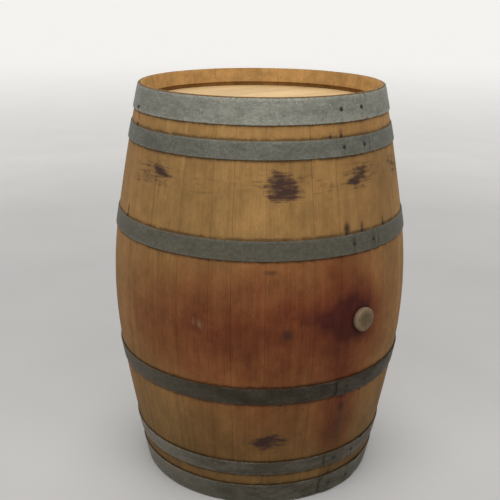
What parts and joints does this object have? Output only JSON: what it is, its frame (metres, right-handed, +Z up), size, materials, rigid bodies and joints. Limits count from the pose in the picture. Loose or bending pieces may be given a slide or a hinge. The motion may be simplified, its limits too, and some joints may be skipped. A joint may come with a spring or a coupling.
{
  "type": "oak wine barrel",
  "caption": "Upright oak wine barrel: bent staves bulging at the middle, held by riveted steel hoops, with a recessed board head at each end and a tapered bung that pulls out of its side.",
  "frame": {"origin": "centre of the ring of stave ends that the barrel stands on", "axes": "+Z up along the barrel's axis; the bung faces -Y; +X to the right as seen from the bung's side"},
  "size_m": [0.71, 0.722, 0.95],
  "materials": {
    "stave_oak": "weathered oak, wine-stained round the bung",
    "head_oak": "planed pale oak",
    "hoop_steel": "dull galvanised",
    "rivet_steel": "dark, dull",
    "nail_iron": "rusty",
    "dowel_wood": "plain",
    "bung_wood": "plain, wine-stained"
  },
  "bodies": {
    "barrel": {"bottom_bilge_hoop": "hoop_steel", "bottom_bilge_hoop_rivets": "rivet_steel", "bottom_head_board_1": "head_oak", "bottom_head_board_2": "head_oak", "bottom_head_board_3": "head_oak", "bottom_head_board_4": "head_oak", "bottom_head_board_5": "head_oak", "bottom_head_board_6": "head_oak", "bottom_head_dowels": "dowel_wood", "bottom_head_hoop": "hoop_steel", "bottom_head_hoop_rivets": "rivet_steel", "bottom_hoop_nails": "nail_iron", "bottom_quarter_hoop": "hoop_steel", "bottom_quarter_hoop_rivets": "rivet_steel", "bung_stave": "stave_oak", "stave_02": "stave_oak", "stave_03": "stave_oak", "stave_04": "stave_oak", "stave_05": "stave_oak", "stave_06": "stave_oak", "stave_07": "stave_oak", "stave_08": "stave_oak", "stave_09": "stave_oak", "stave_10": "stave_oak", "stave_11": "stave_oak", "stave_12": "stave_oak", "stave_13": "stave_oak", "stave_14": "stave_oak", "stave_15": "stave_oak", "stave_16": "stave_oak", "stave_17": "stave_oak", "stave_18": "stave_oak", "stave_19": "stave_oak", "stave_20": "stave_oak", "stave_21": "stave_oak", "stave_22": "stave_oak", "stave_23": "stave_oak", "stave_24": "stave_oak", "stave_25": "stave_oak", "stave_26": "stave_oak", "stave_27": "stave_oak", "stave_28": "stave_oak", "top_bilge_hoop": "hoop_steel", "top_bilge_hoop_rivets": "rivet_steel", "top_head_board_1": "head_oak", "top_head_board_2": "head_oak", "top_head_board_3": "head_oak", "top_head_board_4": "head_oak", "top_head_board_5": "head_oak", "top_head_board_6": "head_oak", "top_head_dowels": "dowel_wood", "top_head_hoop": "hoop_steel", "top_head_hoop_rivets": "rivet_steel", "top_hoop_nails": "nail_iron", "top_quarter_hoop": "hoop_steel", "top_quarter_hoop_rivets": "rivet_steel"},
    "bung": {"bung": "bung_wood"}
  },
  "joints": [
    {"name": "bung_pull", "type": "slide", "parent": "barrel", "child": "bung", "axis": [0, -1, 0], "range_m": [0, 0.08]}
  ]
}
